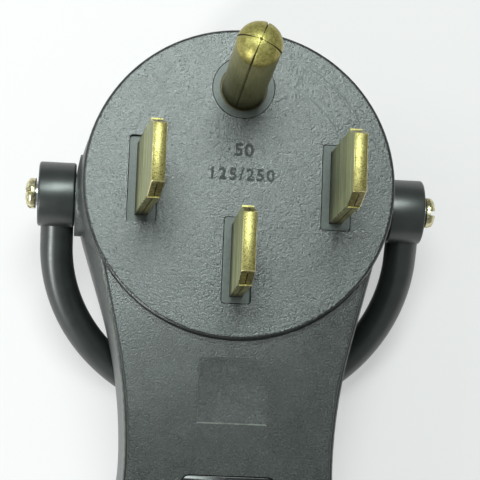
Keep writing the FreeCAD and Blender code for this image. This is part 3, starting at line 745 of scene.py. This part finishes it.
# %% Build the sector outline
line_width = 0.22
line_height = 0.07


def thin_bar(shape, start, end):
    """A thin bar on the face from one place to another."""
    along = end - start
    made = bmesh.ops.create_cube(shape, size=1)["verts"]
    bmesh.ops.scale(shape, verts=made, vec=(along.length, line_width * MM, line_height * MM))
    turned(shape, math.atan2(along.y, along.x), "Z", verts=made)
    moved(shape, (start + end) / 2, made)


def thin_arc(shape, radius, start, end):
    """A thin curved bar round the face's centre, between two angles in degrees."""
    half_wide = line_width / 2
    half_high = line_height / 2
    around = ((-half_wide, -half_high), (half_wide, -half_high), (half_wide, half_high),
              (-half_wide, half_high))
    corners = [on_face(radius + across, 0, height) for across, height in around]
    first = shape.faces.new([shape.verts.new(corner) for corner in corners])
    middle = on_face(0, 0)
    turned(shape, math.radians(start), "Z", middle, first.verts)
    geometry = first.verts[:] + first.edges[:] + [first]
    bmesh.ops.spin(shape, geom=geometry, cent=middle, axis=(0, 0, 1),
                   angle=math.radians(end - start), steps=24)


sector = bmesh.new()
thin_arc(sector, 22.5, 31, 62.5)
thin_arc(sector, 18.3, 34, 55)
thin_bar(sector, on_face(10.3, 20.0), on_face(8.5, 16.2))
thin_bar(sector, on_face(8.6, 16.1), on_face(10.4, 15.0))
thin_bar(sector, on_face(15.2, 10.3), on_face(15.8, 8.7))
thin_bar(sector, on_face(15.8, 8.7), on_face(19.2, 11.5))
bmesh.ops.recalc_face_normals(sector, faces=sector.faces)
finish_piece(sector, "sector_outline", [boss], FIXED)

# %% [markdown]
# ## Folded blades
#
# Each blade is one brass strip folded in half, so its narrow sides show the seam between the
# two layers and its tip is a tight bend with a nearly flat top. A hairpin section is drawn
# once, pulled out to the blade's width and cut at both corners of the tip. A thin lip, left
# by the cutter, stands out where each cut ends. The cut corners, the narrow sides and the
# rounded edges get brasses of their own. Below the face the CAD part already has the
# shoulders and the terminal tab, so its lower half is kept. Two of the blades lean a little.

# %% Define the blade's section
blade_thickness = 2.1 * MM
seam_gap = 0.15 * MM
blade_half_width = 5.95 * MM
corner_cut_side = 1.5 * MM
corner_cut_length = 5.8 * MM
corner_reach = 7 * MM
bend_reach = 0.7 * MM
SIDE, TIP, EDGE, CORNER, NARROW, SEAM = range(6)
blade_finishes = [side_brass, tip_brass, edge_brass, corner_brass_painted_shade, narrow_brass, seam_dark]


def hairpin(shape, bottom, top):
    """A closed hairpin outline in the XZ plane, with a slightly domed bend at the top."""
    outer = blade_thickness / 2
    inner = seam_gap / 2
    bend = top - outer
    drop = 0.22 * MM
    round_off = 0.16 * MM
    last_turn = math.pi / 2 - math.atan(2 * drop / outer)
    meeting = outer - round_off * (1 - math.cos(last_turn))
    centre = top - drop * (meeting / outer) ** 2 - round_off * math.sin(last_turn)
    left = [Vector((-outer, 0, bottom))]
    for step in range(5):
        turn = last_turn * step / 4
        across = outer - round_off * (1 - math.cos(turn))
        left.append(Vector((-across, 0, centre + round_off * math.sin(turn))))
    for step in range(1, 6):
        across = meeting * (1 - step / 6)
        left.append(Vector((-across, 0, top - drop * (across / outer) ** 2)))
    crown = [Vector((0, 0, top))]
    right = [Vector((-point.x, 0, point.z)) for point in reversed(left)]
    gap = [Vector((inner, 0, bottom)), Vector((inner, 0, bend)), Vector((-inner, 0, bend)),
           Vector((-inner, 0, bottom))]
    return shape.faces.new([shape.verts.new(point) for point in left + crown + right + gap])


def sort_brasses(shape, top):
    """Give the sides, the tip, the cut corners and the seam their own brass."""
    for face in shape.faces:
        middle = face.calc_center_median()
        slant = abs(face.normal.y)
        if abs(middle.x) < seam_gap * 0.6 and abs(face.normal.x) > 0.5:
            face.material_index = SEAM
        elif 0.1 < slant < 0.99 and middle.z > top - corner_reach:
            face.material_index = CORNER
        elif slant > 0.99:
            face.material_index = NARROW
        elif middle.z > top - bend_reach:
            face.material_index = TIP if abs(face.normal.x) < 0.5 else EDGE


print("folded thickness:", round(blade_thickness / MM, 2), "mm")

# %% Define a whole blade
strip_foot = face_top - 3.0 * MM
root_top = face_top - 2.5 * MM
lip_size = (blade_thickness * 0.90, 0.28 * MM, 0.20 * MM)
lip_out = 0.05 * MM


def folded_blade(node, name, place, lean):
    """A folded strip above the face, and the CAD part's root and tab below it."""
    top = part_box(node)[1].z
    shape = bmesh.new()
    outline = hairpin(shape, strip_foot, top)
    pulled = bmesh.ops.extrude_face_region(shape, geom=[outline])
    far_side = [part for part in pulled["geom"] if isinstance(part, bmesh.types.BMVert)]
    moved(shape, (0, 2 * blade_half_width, 0), far_side)
    moved(shape, (0, -blade_half_width, 0))
    for end in (-1, 1):
        slope = Vector((0, end * corner_cut_length, corner_cut_side))
        trim(shape, Vector((0, end * (blade_half_width - corner_cut_side), top)), slope.normalized())
    bmesh.ops.recalc_face_normals(shape, faces=shape.faces)
    sort_brasses(shape, top)

    def to_round(edge):
        """True away from the seam, and at the bend only for the clear edges."""
        off_seam = max(abs(vert.co.x) for vert in edge.verts) > 0.12 * MM
        below_bend = min(vert.co.z for vert in edge.verts) < top - 3 * MM
        return off_seam and (below_bend or edge.calc_face_angle(0) > 0.5)

    outside = [edge for edge in sharp_edges(shape, 0.2) if to_round(edge)]
    softened(shape, outside, 0.15 * MM, 2, EDGE)
    for end in (-1, 1):
        lip = bmesh.ops.create_cube(shape, size=1)["verts"]
        bmesh.ops.scale(shape, verts=lip, vec=lip_size)
        across = end * (blade_half_width + lip_out)
        moved(shape, (0, across, top - corner_cut_length), lip)
        for face in {face for vert in lip for face in vert.link_faces}:
            face.material_index = TIP
    turned(shape, lean, "Y", (0, 0, face_top))
    moved(shape, place)
    root = trim(welded(node), (0, 0, root_top), (0, 0, 1))
    join_shapes(shape, root)
    piece = finish_piece(shape, name, blade_finishes, FIXED)
    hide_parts(node)


print("the CAD root is kept below z =", round(root_top / MM, 1), "mm")

# %% Build the three blades
hot_half_spacing = 15.875 * MM
neutral_drop = 12.7 * MM
left_place = Vector((-hot_half_spacing, hot_line, 0))
right_place = Vector((hot_half_spacing, hot_line, 0))
neutral_place = Vector((0, hot_line - neutral_drop, 0))
folded_blade("hot_blade_left", "folded_blade_left", left_place, lean=math.radians(3.6))
folded_blade("hot_blade_right", "folded_blade_right", right_place, lean=0.0)
folded_blade("neutral_blade", "folded_blade_neutral", neutral_place, lean=math.radians(-0.9))

# %% [markdown]
# ## Rolled ground pin
#
# The round pin is brass sheet rolled into a tube. Its seam runs down the side that faces
# the neutral blade, and its tip is closed by four petals that meet in a cross. A half section
# is spun round the axis in many steps, and the rows of points on a seam are pushed inwards.
# The faces beside those rows are the seam's dark walls, and down the tube one of the two
# is a lip in the brighter tip brass, as a painted highlight. The spun pin leans a little and
# sits on the CAD pin's root.

# %% Spin the pin
pin_steps = 144
pin_radius = 3.57 * MM
dome_height = 3.2 * MM
petals_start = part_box("ground_pin")[1].z - dome_height
dome_fullness = 0.035
pin_foot = face_top - 0.4 * MM
pin_section = [(pin_radius, 0, pin_foot), (pin_radius, 0, face_top + 0.3 * MM)]
for step in range(1, 31):
    pin_section.append((pin_radius, 0, face_top + (petals_start - face_top) * step / 30))
for step in range(1, 16):
    turn = math.radians(90 * step / 16)
    around = pin_radius * math.cos(turn) * (1 + dome_fullness * math.sin(2 * turn))
    pin_section.append((around, 0, petals_start + dome_height * math.sin(turn)))
pin_section.append((0, 0, petals_start + dome_height))
pin = spun(pin_section, (0, 0, 1), pin_steps, closed=False)
print("pin points:", len(pin.verts))

# %% Press in the seams of the pin
TUBE, DOME, CREASE, LIP = range(4)
tube_seam = -110
petal_seams = [tube_seam + quarter for quarter in (0, 88, 180, 272)]
pin_seam_top = petals_start - 1.0 * MM
petal_depth = 0.40 * MM
tube_depth = 0.16 * MM


def seam_steps(place, seam):
    """How many spin steps a point lies from a seam's angle."""
    angle = math.degrees(math.atan2(place.y, place.x))
    return abs((angle - seam + 180) % 360 - 180) * pin_steps / 360


def steps_to_seam(place):
    """How many spin steps a point lies from the nearest seam at its height."""
    seams = petal_seams if place.z > pin_seam_top else [tube_seam]
    return min(seam_steps(place, seam) for seam in seams)


pressed = 0
for vert in pin.verts:
    around = vert.co.xy.length
    if around > 0.10 * MM and vert.co.z >= face_top and steps_to_seam(vert.co) < 0.5:
        fade = max(0.25, (vert.co.z - face_top) / (pin_seam_top - face_top))
        depth = petal_depth if vert.co.z > pin_seam_top else tube_depth * fade
        vert.co.x *= 1 - depth / around
        vert.co.y *= 1 - depth / around
        pressed += 1
for face in pin.faces:
    middle = face.calc_center_median()
    if middle.z > petals_start - 0.2 * MM:
        face.material_index = DOME
    # along the seams: dark walls, and down the tube a lip in the brighter tip brass as a painted
    # highlight
    if middle.xy.length > 0.5 * MM and steps_to_seam(middle) < 1.0:
        past_seam = math.degrees(math.atan2(middle.y, middle.x)) > tube_seam
        dark = middle.z > pin_seam_top - 1.5 * MM or past_seam
        face.material_index = CREASE if dark else LIP
print("points pressed in:", pressed)

# %% Lean the pin and join its root
ground_rise = 15.875 * MM
pin_lean = math.radians(-2.5)
turned(pin, pin_lean, "X", (0, 0, face_top))
moved(pin, (0, hot_line + ground_rise, 0))
join_shapes(pin, trim(welded("ground_pin"), (0, 0, face_top - 0.3 * MM), (0, 0, 1)))
pin_finishes = [pin_brass, dome_brass, seam_dark, tip_brass]
ground = finish_piece(pin, "rolled_ground_pin", pin_finishes, FIXED)
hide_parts("ground_pin")

# %% [markdown]
# ## Pull handle
#
# The handle is a round nylon rod, bent into a bow with two short legs that end in thick
# hubs. One circle is pulled along a leg, spun half a turn round the bow and pulled up the
# other leg. The rod leans a little to one side, as the handle has some play. Each hub is a
# spun profile with a bore for its bush. The whole handle is then turned about its pivot to
# the angle at which it rests on the table.

# %% Build the handle's rod
pivot = Vector((0, 32.0 * MM, 21.6 * MM))
rod_radius = 2.82 * MM
bow_radius = 29.95 * MM
bow_shift = 0.15 * MM
bow_lean = math.radians(0.42)
leg_length = 8.78 * MM
leg_start = -3.5 * MM
handle_lean = math.radians(28.81)


def extruded(shape, edges, way):
    """Pull a ring of edges along a vector and return the new verts and edges."""
    pulled = bmesh.ops.extrude_edge_only(shape, edges=edges)
    verts = [part for part in pulled["geom"] if isinstance(part, bmesh.types.BMVert)]
    moved(shape, way, verts)
    kept = set(verts)
    new_edges = [part for part in pulled["geom"] if isinstance(part, bmesh.types.BMEdge)]
    return verts, [edge for edge in new_edges if set(edge.verts) <= kept]


handle = bmesh.new()
stand = Matrix.Translation((bow_radius, leg_start, 0)) @ Matrix.Rotation(math.pi / 2, 4, "X")
bmesh.ops.create_circle(handle, segments=48, radius=rod_radius, cap_ends=False, matrix=stand)
down_the_leg = Vector((0, -leg_length - leg_start, 0))
verts, edges = extruded(handle, handle.edges[:], down_the_leg)
swept = bmesh.ops.spin(handle, geom=verts + edges, cent=(0, -leg_length, 0), axis=(0, 0, -1),
                       angle=math.pi, steps=96)
last_edges = [part for part in swept["geom_last"] if isinstance(part, bmesh.types.BMEdge)]
extruded(handle, last_edges, -down_the_leg)
bmesh.ops.remove_doubles(handle, verts=handle.verts, dist=0.001 * MM)
closed_up(handle)
turned(handle, bow_lean, "Z")
moved(handle, (bow_shift, 0, 0))
print("rod faces:", len(handle.faces))

# %% Add the hubs and turn the handle to its rest
hub_radius = 5.5 * MM
hub_bore = 2.15 * MM
hub_near = 26.85 * MM
hub_far = {-1: 33.10 * MM, 1: 32.85 * MM}


def hub_shape(side):
    """A thick washer with softened rims, spun round the pivot's axis."""
    rim = 0.25 * MM
    far = hub_far[side]
    section = [(hub_near, hub_bore), (hub_near, hub_radius - rim), (hub_near + rim, hub_radius),
               (far - rim, hub_radius), (far, hub_radius - rim), (far, hub_bore)]
    shape = spun([(side * x, 0, r) for x, r in section], (1, 0, 0), 72, closed=True)
    softened(shape, sharp_edges(shape), 0.12 * MM, 2)
    return shape


for side in (-1, 1):
    join_shapes(handle, hub_shape(side))
turned(handle, handle_lean, "X")
moved(handle, pivot)
pull = finish_piece(handle, "pull_bow", [nylon], SWINGING)
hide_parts("handle")

# %% [markdown]
# ## Pivot screws
#
# A brass pan-head screw with a cross slot holds each hub. A head is spun from its dome's
# profile. The floor of the slots is this head, cut low. Four more heads, each cut by two
# planes and turned a quarter further than the last, are the lobes between the slots.

# %% Build the pivot screws
screw_head_radius = 2.6 * MM
slot_half_width = 0.38 * MM
slot_turn = math.radians(8)
rim_share = 0.42
flat_share = 0.30


def domed_head(seat, top):
    """A pan head round the X axis, from its seat to its top."""
    height = top - seat
    radius = screw_head_radius
    section = [(seat, 0, 0), (seat, 0, radius * 0.97), (seat + 0.08 * height, 0, radius)]
    for step in range(9):
        turn = math.radians(10 * step)
        along = seat + height * (rim_share + (1 - rim_share) * math.sin(turn))
        section.append((along, 0, radius * (flat_share + (1 - flat_share) * math.cos(turn))))
    section.append((top, 0, 0))
    return spun(section, (1, 0, 0), 60, closed=False)


def slotted_head(seat, top):
    """The floor of the slots with four lobes round it."""
    floor_level = seat + rim_share * (top - seat)
    head = trim(domed_head(seat, top), (floor_level, 0, 0), (1, 0, 0))
    for quarter in range(4):
        lobe = trim(domed_head(seat, top), (0, slot_half_width, 0), (0, -1, 0))
        trim(lobe, (0, 0, slot_half_width), (0, 0, -1))
        turned(lobe, quarter * math.pi / 2, "X")
        join_shapes(head, lobe)
    return head


def pivot_screw(side, node, bush, name):
    """A slotted head outside the bush, on the CAD screw's shank."""
    seat = max(abs(corner.x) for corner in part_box(bush))
    top = max(abs(corner.x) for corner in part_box(node))
    head = slotted_head(seat, top)
    turned(head, slot_turn, "X")
    if side < 0:
        turned(head, math.pi, "Z")
    moved(head, pivot)
    shank = trim(welded(node), (side * seat, 0, 0), (side, 0, 0))
    piece = finish_piece(join_shapes(head, shank), name, [screw_brass], FIXED)
    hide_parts(node)
    print(name, "stands out to", round(top / MM, 2), "mm")


pivot_screw(-1, "pivot_screw_left", "pivot_bush_left", "slotted_screw_left")
pivot_screw(1, "pivot_screw_right", "pivot_bush_right", "slotted_screw_right")

# %% [markdown]
# ## Blank plate
#
# Below the neck's frame sits a glossy plate, black and blank. A box is scaled to the CAD
# plate's size, its upright corners are rounded and its top edge gets a fine bevel that
# catches the light.

# %% Build the blank plate
low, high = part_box("label_plate")
plate = bmesh.new()
bmesh.ops.create_cube(plate, size=1)
bmesh.ops.scale(plate, verts=plate.verts, vec=high - low)
moved(plate, (low + high) / 2)
half_thick = 0.5 * (high.z - low.z)
upright = [edge for edge in plate.edges if abs(edge.verts[0].co.z - edge.verts[1].co.z) > half_thick]
softened(plate, upright, 1.15 * MM, 8)
softened(plate, [edge for edge in plate.edges if at_level(edge, high.z)], 0.22 * MM, 3)
blank = finish_piece(plate, "blank_plate", [black_gloss], FIXED)
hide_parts("label_plate")

# %% [markdown]
# ## Inlet ring
#
# The rubber ring in the cable inlet is turned: a lip outside, a bead in the shell's groove
# and a plain bore. Spinning its half section about the cable's axis makes all of it at once.

# %% Build the inlet ring
low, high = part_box("cable_grommet")
cable_axis = Vector((0, 0, (low.z + high.z) / 2))
bore = 13.75 * MM
sleeve = 15.4 * MM
bead = (high.z - low.z) / 2
lip = 0.5 * MM
bead_start = low.y + 3.6 * MM
bead_end = low.y + 6.2 * MM
bead_slope = 0.3 * MM
ring_section = [
    (low.y, bore + lip), (low.y, sleeve - lip), (low.y + lip, sleeve), (bead_start, sleeve),
    (bead_start + bead_slope, bead), (bead_end - bead_slope, bead), (bead_end, sleeve),
    (high.y, sleeve), (high.y, bore), (low.y + lip, bore),
]
ring_shape = spun([(0, y, r) for y, r in ring_section], (0, 1, 0), 96, closed=True)
moved(ring_shape, cable_axis)
inlet_ring = finish_piece(ring_shape, "inlet_ring", [rubber], FIXED)
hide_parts("cable_grommet")

# %% [markdown]
# ## Small metal parts and the inner block
#
# Screws, bushes, inserts, saddles and the clamp keep their CAD shapes. They only need their
# plating, and the plate behind the contact block its darker plastic.

# %% Dress the remaining CAD parts
finished_parts = [
    (zinc, ["terminal_saddle_hot_left", "terminal_saddle_hot_right", "terminal_saddle_neutral",
            "terminal_saddle_ground", "terminal_screws", "retainer_screws", "shell_screws",
            "pivot_bush_left", "pivot_bush_right", "cord_clamp", "cord_clamp_screws"]),
    (screw_brass, ["shell_inserts", "pivot_insert_left", "pivot_insert_right"]),
    (inner, ["contact_retainer"]),
]
for finish, names in finished_parts:
    for name in names:
        mesh = nodes[name].data
        mesh.materials.clear()
        mesh.materials.append(finish.material)
print("CAD parts with a finish:", sum(len(names) for finish, names in finished_parts))
